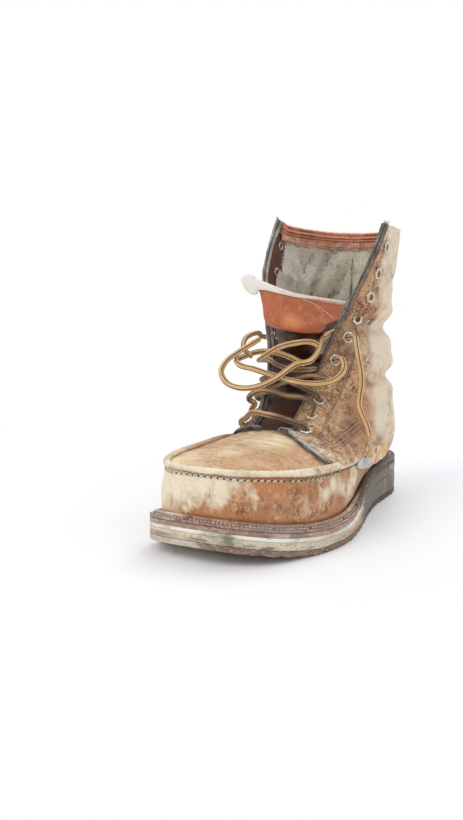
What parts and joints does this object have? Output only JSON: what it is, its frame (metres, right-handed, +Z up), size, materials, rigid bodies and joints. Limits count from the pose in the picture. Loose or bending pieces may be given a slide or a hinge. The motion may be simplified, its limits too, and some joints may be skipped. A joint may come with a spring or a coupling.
{
  "type": "work boot",
  "caption": "Worn lace-up leather work boot for the left foot, moc toe, wedge sole, open throat with its tongue slumped forward and its lace loose.",
  "frame": {"origin": "on the floor under the middle of the sole", "axes": "-Y towards the toe, +Y towards the heel, +X the outer (lateral) side, -X the inner (medial) side, +Z up"},
  "size_m": [0.1299, 0.302, 0.2484],
  "materials": {
    "tread": "worn, dusty brown",
    "foam": "stained cream foam rubber",
    "midsole": "edge-dressed leather, muddy",
    "welt": "stitched leather, muddy",
    "insole": "bare leather footbed",
    "upper": "oil-tanned leather, scuffed, dried mud",
    "tongue": "smooth leather, clean",
    "eyelet": "nickel-plated steel, dulled by use",
    "lace": "round braid, golden tan with brown tracer yarns",
    "lace_tip": "crimped sleeve, milky"
  },
  "bodies": {
    "root": {"outsole": "tread", "wedge": "foam", "midsole": "midsole", "welt": "welt", "insole": "insole", "upper": "upper", "tongue": "tongue", "eyelet_outer_1": "eyelet", "eyelet_outer_2": "eyelet", "eyelet_outer_3": "eyelet", "eyelet_outer_4": "eyelet", "eyelet_outer_5": "eyelet", "eyelet_outer_6": "eyelet", "eyelet_outer_7": "eyelet", "eyelet_outer_8": "eyelet", "eyelet_outer_9": "eyelet", "eyelet_outer_10": "eyelet", "eyelet_inner_1": "eyelet", "eyelet_inner_2": "eyelet", "eyelet_inner_3": "eyelet", "eyelet_inner_4": "eyelet", "eyelet_inner_5": "eyelet", "eyelet_inner_6": "eyelet", "eyelet_inner_7": "eyelet", "eyelet_inner_8": "eyelet", "eyelet_inner_9": "eyelet", "eyelet_inner_10": "eyelet", "lace_bar_1": "lace", "lace_bar_2": "lace", "lace_loop_outer": "lace", "lace_loop_inner": "lace", "lace_strand": "lace", "lace_end_outer": "lace", "lace_tip": "lace_tip"}
  },
  "joints": []
}
